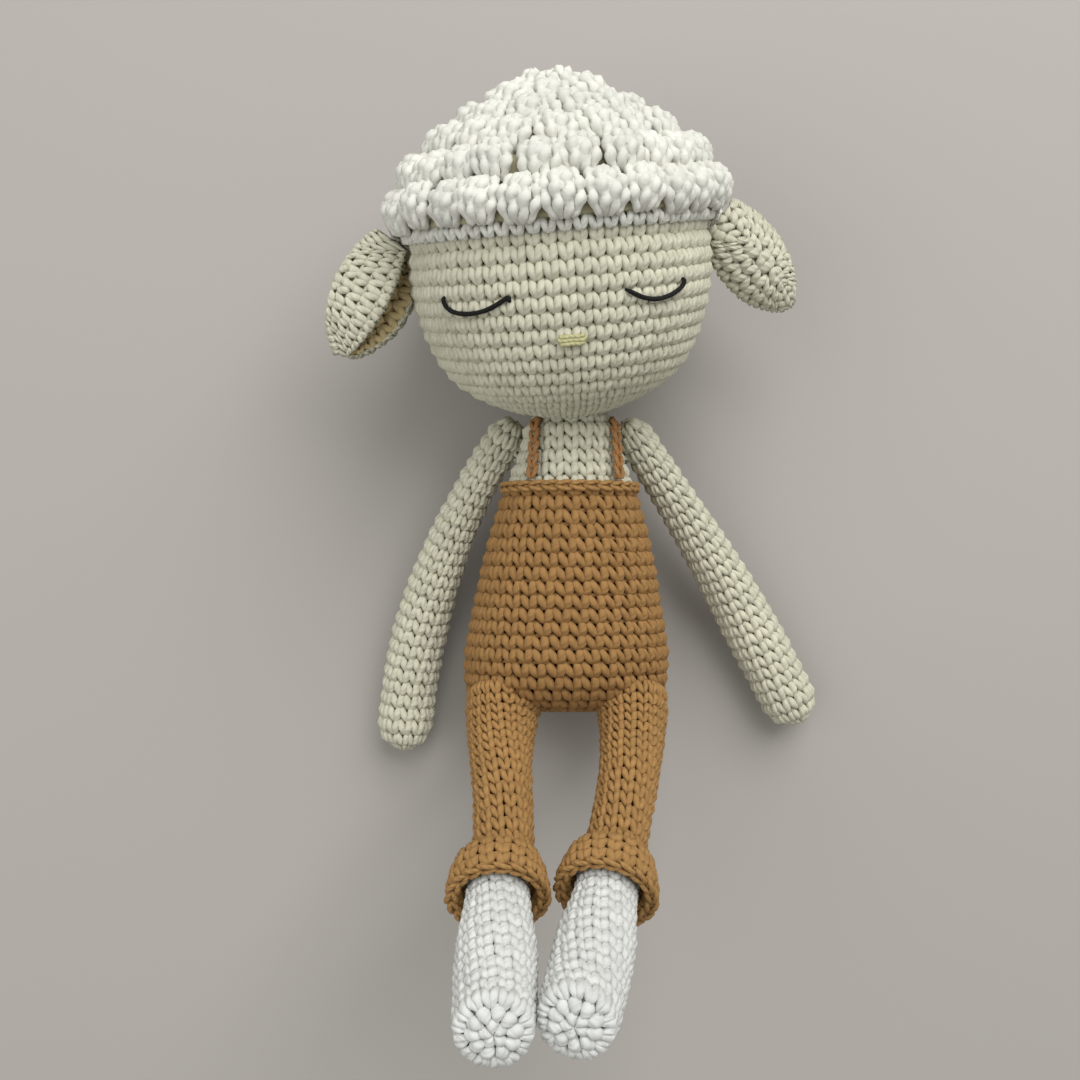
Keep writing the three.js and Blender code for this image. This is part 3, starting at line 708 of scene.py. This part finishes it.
head_axes = np.stack([side, crown, face], axis=1)
both_sides = {"left": -1, "right": 1}
for name, sign in both_sides.items():
    pose = (turned("z", sign * ear_hang[name]) @ turned("x", sign * ear_back[name])
            @ turned("y", sign * ear_turn[name]))
    ear_form = Form(ear_rings(name) @ (head_axes @ pose).T + pivot_of(f"{name}_ear_flap"), probe=0.5)
    ear_rounds = rounds(ear_form, pitch=2.9 * mm, width=3.3 * mm, rise=0, step=2)
    rim = outer_share * ear_form.length()
    stitch = single_crochet(bold=1.2)
    outer_rounds = [each for each in ear_rounds if each[0] < rim]
    hollow_rounds = [each for each in ear_rounds if each[0] >= rim]
    ear_stitches = crocheted(ear_form, outer_rounds, stitch, pitch=2.2 * mm, seed=11)
    hollow_stitches = crocheted(ear_form, hollow_rounds, stitch, pitch=2.2 * mm, seed=12)
    ear_lining = lining(ear_form, depth=0.3 * mm)
    ear = made(f"ear_{name}_crochet", [(0, ear_stitches), (1, hollow_stitches), (2, ear_lining)],
               [cream_yarn, hollow_shade_yarn, cream_inside_shade])
    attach(ear, f"{name}_ear")
    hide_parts(f"ear_{name}")

# Overalls: light brown yarn, crocheted in rounds from between the legs up to the bib as one piece
# with the body, and stuffed. They lie on the floor at the back of the hips.
brown_yarn = yarn_material("brown_yarn", (0.33, 0.185, 0.065))
# The overalls take the brown yarn's colour made about a tenth darker: painted shade, since the body faces the
# light less than the raised legs do.
overalls_shaded_yarn = yarn_material("body_brown_painted_shade", (0.295, 0.162, 0.057))
# A very dark brown under the brown stitches: painted shade in the holes between them.
brown_inside_shade = shaded_inner_material("brown_inside_shade", (0.10, 0.045, 0.014))
hip_joint = pivot_of("left_hip_fold")
leg_forward = 7.5 * mm
leg_back = 1.4 * mm
crotch_drop = 17.5 * mm
waist_height = 25.5 * mm
bib_height = 42 * mm
shoulder_height = 50 * mm
neck_height = 57 * mm
hip_half = (26.6 * mm, 21 * mm)
waist_half = (21.3 * mm, 17.8 * mm)
bib_half = (16.3 * mm, 14.6 * mm)
shoulder_half = (13.5 * mm, 12 * mm)
hip_line = hip_joint[1] + crotch_drop - leg_back
hip_level = hip_joint[2] - leg_forward
body_lean = math.tan(math.radians(0.9))
stitch_height = 3.3 * mm
torso_rise = 0.5 * stitch_height
seat_end = -16.7 * mm
seat_tilt = 1.5 * mm
seat_fullness = (6, 2.6)


def body_centre(height):
    """The middle of the body at a height above the line across the hips."""
    y = hip_line + height
    z = hip_level + (neck[2] - hip_level) * height / neck_height
    return np.stack([body_lean * y, y, z], axis=-1)


def body_rings(outline, inset):
    """Rings across the body. Those of the seat tilt, lower at the back than at the belly."""
    line = through(outline, steps=14)
    line[:, 1:] = np.maximum(line[:, 1:] - inset, 0.2 * mm)
    turn = full_turn(96)
    rings = np.repeat(body_centre(line[:, 0])[:, None], len(turn), axis=1)
    rings[..., 0] += line[:, 1:2] * np.sin(turn)[None]
    rings[..., 2] += line[:, 2:3] * np.cos(turn)[None]
    tilt = seat_tilt * (1 - smooth(line[:, 0], seat_end, waist_height)) * line[:, 2] / hip_half[1]
    rings[..., 1] += tilt[:, None] * np.cos(turn)[None]
    return rings


tube_sides = 48


def tube_rings(centres, radii):
    """Rings square to a line, each with its own radius."""
    across, over = square_to(centres, (0.0, 0.0, 1.0))
    turn = full_turn(tube_sides)
    ring = np.cos(turn)[None, :, None] * over[:, None] + np.sin(turn)[None, :, None] * across[:, None]
    return centres[:, None] + radii.reshape(len(centres), -1, 1) * ring


leg_root = 7.6 * mm
leg_end = 7 * mm
leg_length = 52.5 * mm
leg_rise = 55
leg_in = {"left": 1.8, "right": 10.8}
leg_middle_bow = {"left": 0, "right": -0.8 * mm}
leg_end_bow = {"left": 1.2 * mm, "right": 0}
leg_top_half = {"left": 8.3 * mm, "right": 7.6 * mm}
leg_top_aside = {"left": 0.6 * mm, "right": 1.4 * mm}
leg_top_depth = 9.9 * mm
leg_top_place = (5.0 * mm, -4.2 * mm)
leg_top_slant = 4.6 * mm
leg_top_sunk = 1.1 * mm
leg_sunk_length = 5 * mm
hip_fillet = 4 * mm
hip_bend = 20 * mm


def leg_direction(sign, rise, inward):
    """Which way a leg or a foot points: its rise above the floor and its lean to the other leg."""
    rise, inward = math.radians(rise), math.radians(inward)
    forward = math.cos(inward)
    return np.array((-sign * math.sin(inward), -forward * math.cos(rise), forward * math.sin(rise)))


def leg_rings(name, sign, inset):
    """A trouser leg from the ankle up to where it leaves the body, wider there and turned to its front."""
    hip = pivot_of(f"{name}_hip_fold")
    distance = np.linspace(leg_length - 1 * mm, 0, 60)
    radius = leg_root - (leg_root - leg_end) * smooth(distance, leg_root, 0.7 * leg_length) - inset
    line = hip + distance[:, None] * leg_direction(sign, leg_rise, leg_in[name])
    share = distance / leg_length
    bow = leg_middle_bow[name] * np.sin(np.pi * share) + leg_end_bow[name] * smooth(share, 0, 0.6)
    line[:, 0] -= sign * bow
    angle = sign * full_turn(tube_sides)
    sunk = (leg_top_sunk * (1 - smooth(distance, 0, leg_sunk_length)))[:, None]
    half = leg_top_half[name] - inset - sunk
    x = leg_top_aside[name] + half * np.sin(angle) - hip_fillet * np.maximum(-np.sin(angle), 0)
    y = leg_top_place[0] + leg_top_slant * np.cos(angle) - 0.5 * distance[:, None]
    z = leg_top_place[1] + (leg_top_depth - sunk) * np.cos(angle)
    top = hip + np.stack([sign * x, y, z], axis=2)
    away = smooth(distance, 0, hip_bend)[:, None, None]
    return away * tube_rings(line, radius) + (1 - away) * top


def depth_in(places, form):
    """How deep each place lies under a form: below zero outside it, and -1 beyond its open ends."""
    beyond_end = 1.3 * mm
    turn, reach = np.meshgrid(np.arange(48) / 48, np.linspace(0, form.length(), 64))
    surface, out = form.at(turn.ravel(), reach.ravel())
    depths = []
    for place in places:
        away = place - surface
        nearest = np.argmin((away**2).sum(axis=1))
        off = away[nearest] @ out[nearest]
        aside = np.linalg.norm(away[nearest] - off * out[nearest])
        depths.append(-off if aside < beyond_end else -1)
    return np.array(depths)


def clear_of(form, pitch, others, depth):
    """Leaves out the stitches of a form that lie deeper than this in one of the others."""
    def keep(turn, reach):
        places = form.at(turn, np.minimum(reach + 0.5 * pitch, form.length()))[0]
        return np.all([depth_in(places, other) < depth for other in others], axis=0)
    return keep


# The seat closes square across the toy and rounder in depth: the higher its fullness, the squarer.
seat_turn = np.radians(np.linspace(1.2, 86, 16))
seat_reach = np.cos(seat_turn) / (np.cos(seat_turn) ** 3 + np.sin(seat_turn) ** 3) ** (1 / 3)
seat_outline = [(seat_end + torso_rise) * seat_reach]
for half, fullness in zip(hip_half, seat_fullness):
    seat_outline.append(torso_rise + (half - torso_rise) * (1 - seat_reach**fullness) ** (1 / fullness))
body_outline = [
    *np.stack(seat_outline, axis=1),
    (waist_height / 2, (hip_half[0] + waist_half[0]) / 2, (hip_half[1] + waist_half[1]) / 2),
    (waist_height, *waist_half),
    (bib_height, *bib_half),
]
leg_forms = {name: Form(leg_rings(name, sign, torso_rise)) for name, sign in both_sides.items()}
overalls_form = Form(body_rings(body_outline, torso_rise), probe=0.7)
overalls_rounds = rounds(overalls_form, pitch=3.55 * mm, width=4.05 * mm, step=2)
outside_legs = clear_of(overalls_form, stitch_height, leg_forms.values(), depth=2.7 * mm)
overalls_stitches = crocheted(overalls_form, overalls_rounds, single_crochet(spread=0.93, bold=1.22),
                              pitch=stitch_height, lean=-0.16, drift=0.06, seed=21, keep=outside_legs)
overalls_lining = lining(overalls_form, depth=1.0 * mm)
overalls = made("overalls_crochet", [(0, overalls_stitches), (1, overalls_lining)], [overalls_shaded_yarn, brown_inside_shade])
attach(overalls, "torso")
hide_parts("overalls", "body_stuffing")

# Chest: the cream top of the body, worked on from the bib in the same rounds and drawn in to the
# neck, which goes up into the head and closes there as a ball.
chest_inset = 0.6 * mm
neck_ball = 8.2 * mm
neck_outline = [(54.5 * mm, 12.2 * mm, 10.6 * mm), (neck_height, 10.2 * mm, 9.2 * mm)]
chest_outline = [(height, half[0] - chest_inset, half[1] - chest_inset) for height, half in (
    (bib_height - 2 * mm, bib_half), (bib_height, bib_half), (shoulder_height, shoulder_half))]
chest_outline += neck_outline
for up, half in ((0.5, 0.94), (0.88, 0.60), (1.04, 0.1)):
    chest_outline.append((neck_height + up * neck_ball, half * neck_ball, half * neck_ball))
chest_form = Form(body_rings(chest_outline, torso_rise))
chest_rounds = rounds(chest_form, pitch=stitch_height, width=3.5 * mm, step=2)
chest_stitches = crocheted(chest_form, chest_rounds, single_crochet(spread=0.93, bold=1.25),
                           pitch=stitch_height, lean=-0.12, seed=22)
chest_lining = lining(chest_form, depth=1.0 * mm)
chest = made("chest_crochet", [(0, chest_stitches), (1, chest_lining)], [cream_yarn, cream_inside_shade])
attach(chest, "torso")
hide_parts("chest")

# Bib edging and straps: chains of slip stitch in the brown yarn. The edging goes round the top of
# the overalls, and the straps go from it over the shoulders to the back.
strap_yarn = yarn_material("strap_yarn", (0.31, 0.158, 0.06))
link_leg = np.array([(-0.03, -0.16, 0.02), (-0.16, 0.14, 0.20), (-0.30, 0.50, 0.24), (-0.36, 0.86, 0.10),
                     (-0.28, 1.14, -0.22)])
link_core = [(-0.28, 0.1, -0.16), (0.0, 0.5, -0.10), (0.28, 0.9, -0.16)]
chain_link = joined([*[strand(link_leg * (hand, 1, 1), [0.14, 0.2, 0.21, 0.2, 0.14]) for hand in (1, -1)],
                     strand(link_core, 0.24)])


def chained(line, out, link, width, height, closed=False, seed=1):
    """Links of one chain laid along a line, with out the direction away from what carries them."""
    corners, faces, yarn_map = chain_link
    if closed:
        line = np.concatenate([line, line[:1]])
        out = np.concatenate([out, out[:1]])
    reach = travelled(line)
    count = max(2, round(reach[-1] / link))
    along = (np.arange(count)[:, None] + corners[None, :, 1]) * reach[-1] / count
    along = along % reach[-1] if closed else np.clip(along, 0, reach[-1])

    def beside(values):
        """Values along the line, read where the links' corners are."""
        return np.stack([np.interp(along, reach, values[:, k]) for k in range(3)], axis=-1)

    lift = beside(out)
    across = unit(np.cross(beside(np.gradient(line, reach, axis=0)), lift))
    points = beside(line) + across * (corners[None, :, :1] * width) + lift * (corners[None, :, 2:] * height)
    random = np.random.default_rng(seed)
    all_faces = (faces[None] + (np.arange(count) * len(corners))[:, None, None]).reshape(-1, 4)
    tone = np.repeat(random.uniform(0, 1, count), len(corners))
    return points.reshape(-1, 3), all_faces, np.tile(yarn_map, (count, 1)), tone


bib_lift = 0.5 * mm
bib_rings = body_rings([(bib_height - 1.1 * mm, *bib_half), (bib_height - 1 * mm, *bib_half)], bib_lift)
bib_line = bib_rings[-1]
bib_out = unit(bib_line - bib_line.mean(axis=0))
bib_stitches = chained(bib_line + bib_out * bib_lift, bib_out, link=3.3 * mm, width=2.6 * mm, height=3.0 * mm,
                       closed=True, seed=31)
bib = made("bib_edging", [(0, bib_stitches)], [brown_yarn])
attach(bib, "torso")
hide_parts("bib_edge")

strap_spread = 10.4 * mm
strap_shift = 1.8 * mm
strap_lean = 0.9 * mm
strap_thick = 1.6 * mm
strap_roll = 8 * mm
strap_start = bib_height + 0.6 * mm
strap_out = 0.6 * mm + strap_thick / 2 - chest_inset
shoulder_line = through([*body_outline[-2:], (shoulder_height, *shoulder_half), *neck_outline], steps=20)


def strap_half(height, column):
    """Half of the body's width (1) or depth (2) with the strap on it."""
    return np.interp(height, shoulder_line[:, 0], shoulder_line[:, column]) + strap_out


for name, sign in both_sides.items():
    share = np.linspace(0, 1, 60)
    x = strap_shift + sign * (strap_spread - strap_lean * np.sin(np.pi * share))
    heights = np.linspace(bib_height, neck_height, 400)
    narrower = strap_half(heights, 1) < np.abs(x).min()
    top = heights[np.argmax(narrower)] if narrower.any() else heights[-1]
    height = strap_start + (top - strap_start) * np.sin(np.pi * share)
    centre = body_centre(height)
    across = np.clip((x - centre[:, 0]) / strap_half(height, 1), -1, 1)
    lift = strap_half(height, 2) * np.sqrt(1 - across**2) * np.where(share < 0.5, 1, -1)
    line = np.stack([x, centre[:, 1], centre[:, 2] + lift], axis=1)
    out = unit(line - centre + np.array((0, 1.0, 0)) * (np.sin(np.pi * share) * strap_roll)[:, None])
    links = chained(line, out, link=3.0 * mm, width=3.2 * mm, height=2.2 * mm, seed=33)
    strap = made(f"strap_{name}_chain", [(0, links)], [strap_yarn])
    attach(strap, "torso")
    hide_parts(f"strap_{name}")

# Arms: cream tubes worked from the hand to the shoulder, fuller at the hand and stuffed. They are
# laid down beside the body, bent a little, with their hands just off the floor.
arm_root = 5.1 * mm
arm_end = 7.6 * mm
arm_length = 79 * mm
arm_reach = 4.5 * mm
arm_bend = {"left": (34, 5), "right": (37, 27)}
arm_most = 12
floor_gap = 0.3 * mm


def round_ended(length, start_round, end_round, radius_at, inset):
    """Distances along a tube with round ends, and its radius at each."""
    arc = np.linspace(0, np.pi / 2, 16)
    start = start_round - np.cos(arc) * (start_round - inset)
    end = length - end_round + np.sin(arc) * (end_round - inset)
    middle = np.linspace(start_round, length - end_round, 60)[1:-1]
    distance = np.concatenate([start, middle, end])
    share = np.concatenate([np.sin(arc), np.ones(len(middle)), np.cos(arc)])
    return distance, np.maximum((radius_at(distance) - inset) * share, 0.05 * mm)


def arm_radius(distance):
    """The arm grows thicker from the shoulder to the hand."""
    return arm_root + (arm_end - arm_root) * smooth(distance - arm_root - arm_reach, 0, 0.8 * arm_length)


for name, sign in both_sides.items():
    pivot = pivot_of(f"{name}_arm_spread")
    start_angle, end_angle = [math.radians(angle) for angle in arm_bend[name]]
    drop = pivot[2] - arm_end - floor_gap
    flat = math.sqrt(arm_length**2 - drop**2)
    total = arm_reach + arm_root + arm_length + arm_end
    distance, radius = round_ended(total, arm_root, arm_end, arm_radius, 0.5 * stitch_size)
    share = (distance - arm_root - arm_reach) / arm_length
    inside = np.clip(share, 0, 1)
    heading = start_angle + (end_angle - start_angle) * inside
    bend = flat / (end_angle - start_angle)
    line = np.stack([sign * bend * (math.cos(start_angle) - np.cos(heading)),
                     -bend * (np.sin(heading) - math.sin(start_angle)),
                     -drop * np.sin(np.pi / 2 * inside)], axis=1)
    ahead = unit(np.stack([sign * np.sin(heading) * flat, -np.cos(heading) * flat,
                           -drop * np.pi / 2 * np.cos(np.pi / 2 * inside)], axis=1))
    line = pivot + line + ahead * ((share - inside) * arm_length)[:, None]
    arm_form = Form(tube_rings(line[::-1], radius[::-1]), probe=0.5)
    arm_rounds = rounds(arm_form, pitch=3.5 * mm, width=3.3 * mm, step=1, most=arm_most)
    arm_stitches = crocheted(arm_form, arm_rounds, single_crochet(spread=0.93, bold=1.28), lean=-0.06,
                             drift=0.1, seed=41 + sign)
    arm_lining = lining(arm_form, depth=1.0 * mm, around=24)
    arm = made(f"arm_{name}_crochet", [(0, arm_stitches), (1, arm_lining)], [cream_yarn, cream_inside_shade])
    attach(arm, f"{name}_arm")
    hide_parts(f"arm_{name}", f"arm_{name}_stuffing")

# Sewn seams: each arm is sewn to its shoulder, and the head to the neck, with slanting stitches of
# the same cream yarn.
seam_thread = 0.55 * mm
arm_seam_in = 0.4 * mm
neck_seam_up = 3.4 * mm


def whipped(name, centre, axis, radius, reach, count):
    """Slanting stitches round an axis: radius from it, reach along it."""
    level = unit(np.cross(axis, (0.0, 0.3, 1.0)))
    other = np.cross(axis, level)
    lines = []
    for i in range(count):
        points = []
        for share in np.linspace(-1, 1, 5):
            angle = 2 * np.pi * (i + 0.55 * share) / count
            out = radius * (1 + 0.12 * (1 - share * share))
            points.append(centre + axis * reach * share / 2
                          + out * (math.cos(angle) * level + math.sin(angle) * other))
        lines.append(points)
    return sewn(name, lines, seam_thread, cream_yarn, sides=6)


across_toy = np.array((1.0, 0.0, 0.0))
for name, sign in both_sides.items():
    pivot = pivot_of(f"{name}_arm_spread")
    seam_place = pivot - sign * (arm_root + arm_seam_in) * across_toy
    seam = whipped(f"arm_{name}_seam_stitches", seam_place, across_toy, radius=2.6 * mm, reach=2.6 * mm,
                   count=9)
    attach(seam, f"{name}_shoulder")
    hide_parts(f"arm_{name}_seam")
neck_seam = whipped("neck_seam_stitches", neck + crown * neck_seam_up, crown, radius=8.0 * mm,
                    reach=2.4 * mm, count=16)
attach(neck_seam, "neck")
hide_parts("head_seam")

# Legs: brown trouser legs worked on from the body, held up at rest, with white feet whose rounds
# start at the flat of the toe, and a flared cuff round each ankle. The leg bends softly at the hip.
white_yarn = yarn_material("white_yarn", (0.60, 0.61, 0.585))
# A white a little darker than the feet's yarn: painted shade in the holes between the stitches.
white_inside_shade = shaded_inner_material("white_inside_shade", (0.56, 0.56, 0.53))
leg_pitch = 3.4 * mm
foot_in = {"left": 0.8, "right": 11.3}
foot_rise = 7
foot_length = 39.5 * mm
foot_middle = 8.5 * mm
foot_middle_at = 0.45 * foot_length
foot_toe = 8.2 * mm
foot_round = 3.4 * mm
foot_lift = 5 * mm
foot_sunk = 4 * mm
toe_rings = (2.4 * mm, 4.9 * mm)
toe_rounds = [(0, toe_rings[0], 5), (toe_rings[0], toe_rings[1] - toe_rings[0], 10)]
toe_puff = strand([(0, -0.04, -0.1), (0, 0.2, 0.12), (0, 0.5, 0.22), (0, 0.8, 0.12), (0, 1.04, -0.1)],
                  [0.3, 0.5, 0.57, 0.5, 0.3], sides=10)
cuff_length = 9 * mm
cuff_mouth = 11 * mm
cuff_rim = 2.3 * mm
cuff_start = leg_length - cuff_length + 2 * mm
cuff_inner = leg_end + 0.3 * mm
cuff_skin = 0.9 * mm
cuff_profile = through([
    (cuff_inner + 0.2 * mm, cuff_start + 0.8 * mm),
    (cuff_inner + 0.8 * cuff_rim - cuff_skin, cuff_start + 0.3 * mm),
    (cuff_mouth - 0.4 * mm - cuff_skin, cuff_start + 0.5 * cuff_length),
    (cuff_mouth - cuff_skin, cuff_start + 0.88 * cuff_length),
    (cuff_mouth - cuff_rim / 2, cuff_start + cuff_length - cuff_skin),
    (cuff_mouth - cuff_rim + 0.3 * mm, cuff_start + 0.86 * cuff_length),
    (cuff_mouth - 1.1 * cuff_rim + 0.3 * mm, cuff_start + 0.55 * cuff_length),
    (cuff_inner + 0.4 * mm, cuff_start + 0.3 * cuff_length),
])


def foot_radius(distance):
    """The foot swells from the ankle to its middle and narrows a little to the toe."""
    swelled = smooth(distance, 0, foot_middle_at)
    tapered = smooth(distance, foot_middle_at, foot_length - foot_round)
    return leg_end + (foot_middle - leg_end) * swelled + (foot_toe - foot_middle) * tapered


for name, sign in both_sides.items():
    hip = pivot_of(f"{name}_hip_fold")
    leg_way = leg_direction(sign, leg_rise, leg_in[name])
    leg_form = leg_forms[name]
    leg_rounds = rounds(leg_form, pitch=leg_pitch, width=leg_pitch, step=1)
    outside_body = clear_of(leg_form, leg_pitch, [overalls_form], depth=2.1 * mm)
    leg_stitches = crocheted(leg_form, leg_rounds, single_crochet(spread=0.95, bold=1.15),
                             pitch=stitch_height, lean=-0.12, drift=-0.06, seed=51 + sign, keep=outside_body)
    leg_lining = lining(leg_form, depth=1.0 * mm, around=24)
    leg = made(f"leg_{name}_crochet", [(0, leg_stitches), (1, leg_lining)], [brown_yarn, brown_inside_shade])
    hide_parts(f"leg_{name}", f"leg_{name}_stuffing")
    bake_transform(leg)

    foot_way = leg_direction(sign, leg_rise + foot_rise, foot_in[name])
    distance, radius = round_ended(foot_length + foot_sunk, 0.1 * mm, foot_round,
                                   lambda along: foot_radius(along - foot_sunk), torso_rise)
    distance, radius = (distance - foot_sunk)[::-1], radius[::-1]
    instep = unit(np.array((0, 1, 0)) - foot_way * foot_way[1])
    lift = foot_lift * np.maximum(distance / foot_length, 0) ** 3
    foot_line = hip + leg_way * leg_length + distance[:, None] * foot_way + lift[:, None] * instep
    foot_form = Form(tube_rings(foot_line, radius), probe=0.5)
    foot_rounds = rounds(foot_form, pitch=3.3 * mm, width=3.3 * mm, step=2, most=14, first=toe_rings[1])
    foot_stitches = crocheted(foot_form, foot_rounds, single_crochet(spread=0.88, bold=1.42), pitch=2.7 * mm,
                              lean=-0.1, drift=-0.1, seed=61 + sign)
    toe_puffs = crocheted(foot_form, toe_rounds, toe_puff, pitch=2.1 * mm, drift=0.5, seed=63, loose=0.05)
    foot_lining = lining(foot_form, depth=0.4 * mm, around=24)
    foot = made(f"foot_{name}_crochet", [(0, foot_stitches), (0, toe_puffs), (1, foot_lining)],
                [white_yarn, white_inside_shade])
    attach(foot, f"{name}_leg")
    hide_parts(f"foot_{name}")

    level = unit(np.cross(leg_way, (0, 0, 1.0)))
    turn = full_turn(64)
    spokes = np.sin(turn)[:, None] * level + np.cos(turn)[:, None] * np.cross(level, leg_way)
    cuff_form = Form(hip + cuff_profile[:, None, 1:2] * leg_way + cuff_profile[:, None, 0:1] * spokes[None])
    cuff_rounds = rounds(cuff_form, pitch=3.0 * mm, width=3.3 * mm, rise=0, step=2)
    cuff_stitches = crocheted(cuff_form, cuff_rounds, single_crochet(bold=1.28), pitch=2.2 * mm,
                              seed=71 + sign)
    cuff_lining = lining(cuff_form, depth=0.3 * mm)
    rim_line = hip + leg_way * (cuff_start + cuff_length - 0.4 * mm) + spokes * (cuff_mouth - cuff_rim / 2)
    rim_out = np.tile(leg_way, (len(rim_line), 1))
    rim = chained(rim_line, rim_out, link=3.3 * mm, width=2.9 * mm, height=2.2 * mm, closed=True, seed=73)
    cuff = made(f"cuff_{name}_crochet", [(0, cuff_stitches), (0, rim), (1, cuff_lining)],
                [brown_yarn, brown_inside_shade])
    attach(cuff, f"{name}_leg")
    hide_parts(f"cuff_{name}")
